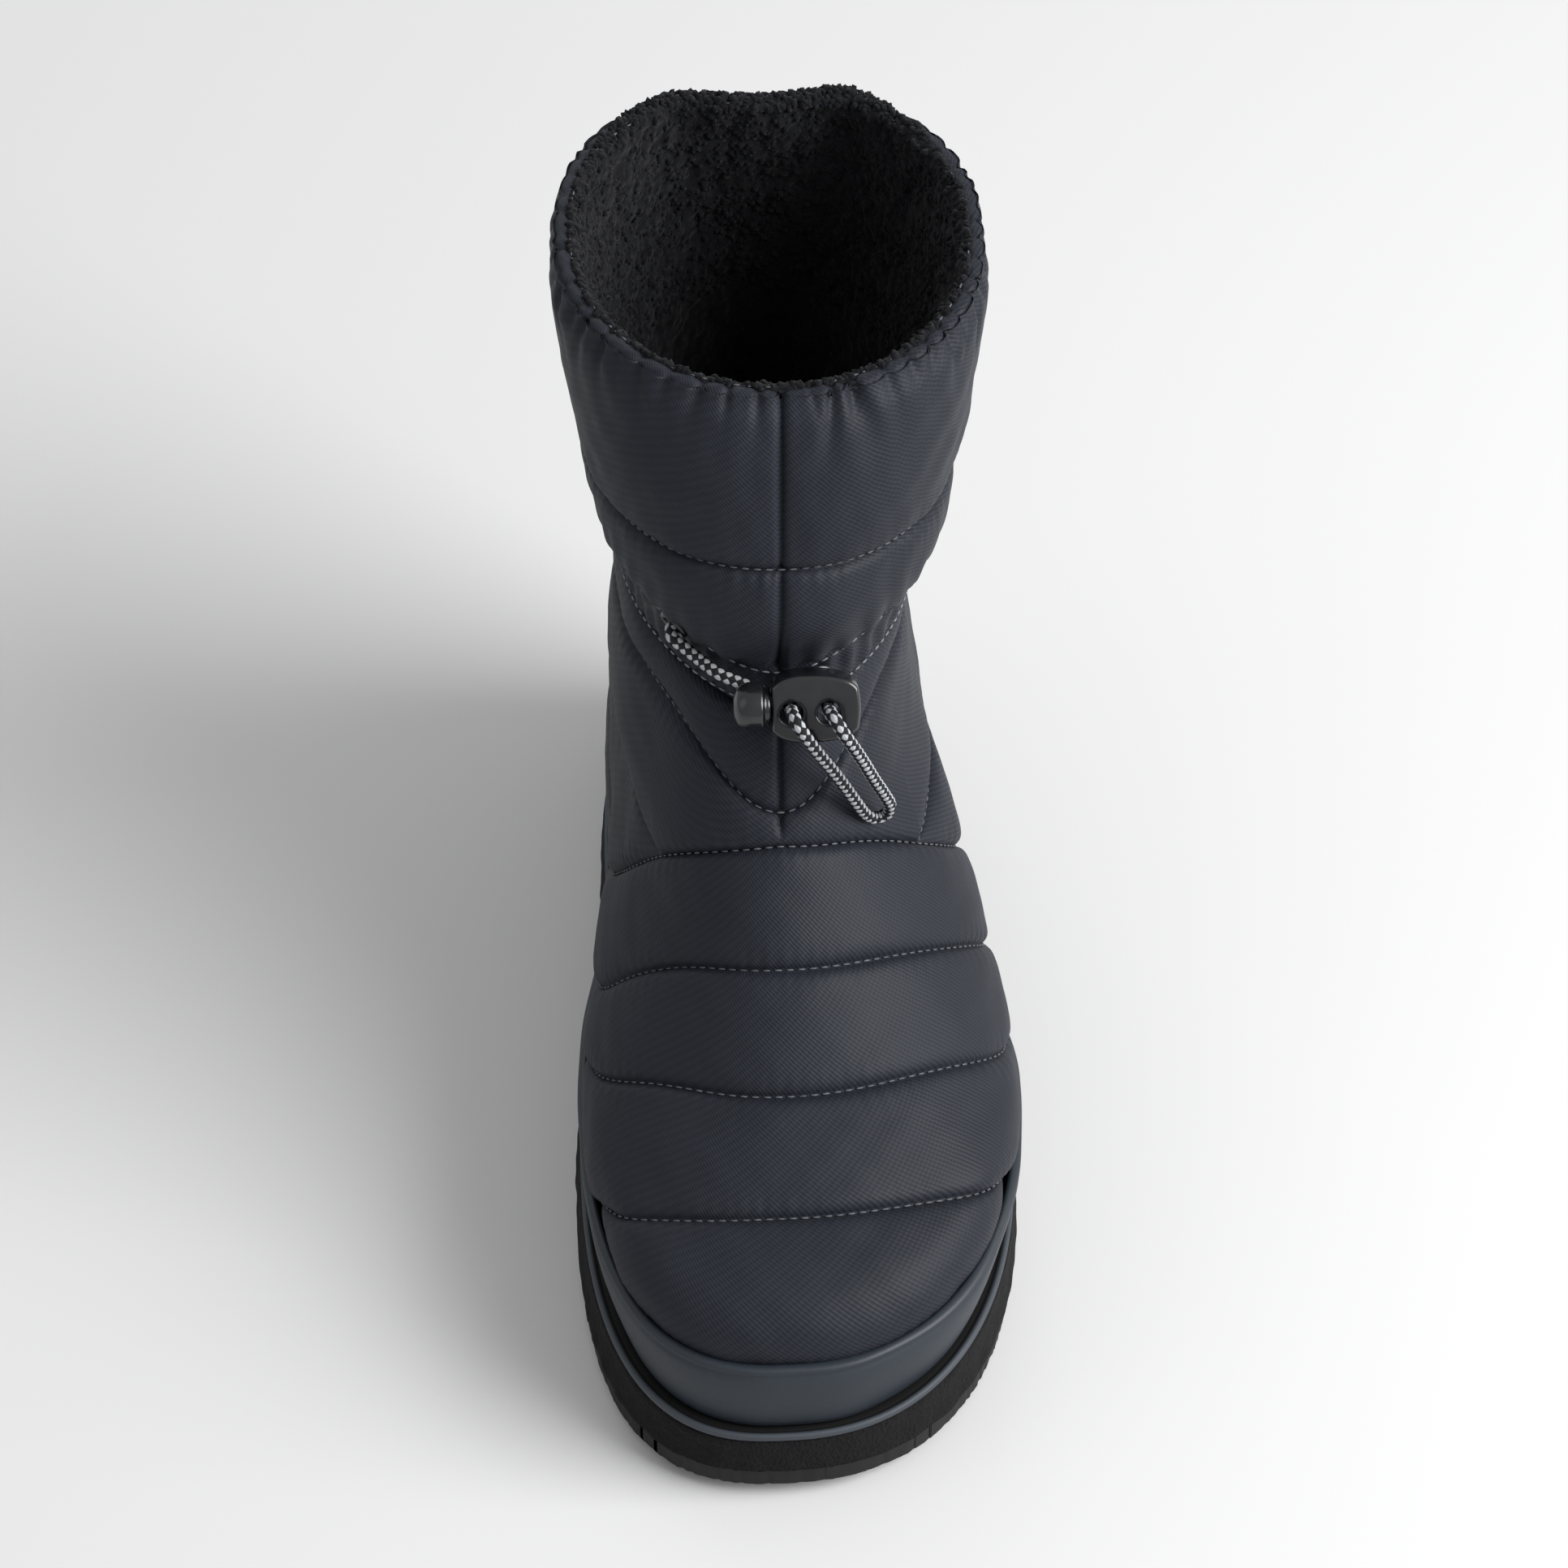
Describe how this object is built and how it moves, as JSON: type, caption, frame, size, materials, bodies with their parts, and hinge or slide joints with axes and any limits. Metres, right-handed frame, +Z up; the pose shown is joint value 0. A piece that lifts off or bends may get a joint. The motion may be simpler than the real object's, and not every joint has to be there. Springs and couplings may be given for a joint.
{
  "type": "thermal boot",
  "caption": "Quilted pull-on winter boot for the left foot, padded hollow upper with drawcord ankle, rubber rand, foam midsole and wavy tread.",
  "frame": {"origin": "on the floor, under the middle of the boot's box", "axes": "+Y from toe to heel, +X to the lateral side of the left foot, +Z up"},
  "size_m": [0.1156, 0.292, 0.24],
  "materials": {
    "shell_nylon": "satin twill nylon, padded",
    "fleece": "curly pile",
    "slate_rubber": "smooth satin rubber",
    "tread_rubber": "matte moulded rubber",
    "foam": "fine grained foam",
    "gloss_plastic": "gloss black",
    "eyelet_plastic": "satin black",
    "elastic_cord": "braided elastic cord with light flecks"
  },
  "bodies": {
    "root": {"outsole": "tread_rubber", "midsole": "foam", "welt": "slate_rubber", "insole": "fleece", "rand": "slate_rubber", "upper": "shell_nylon", "cord_lock_body": "gloss_plastic", "cord_lock_button": "gloss_plastic", "eyelet_left": "eyelet_plastic", "eyelet_right": "eyelet_plastic", "cord_strand_left": "elastic_cord", "cord_strand_right": "elastic_cord", "cord_loop": "elastic_cord"}
  },
  "joints": []
}
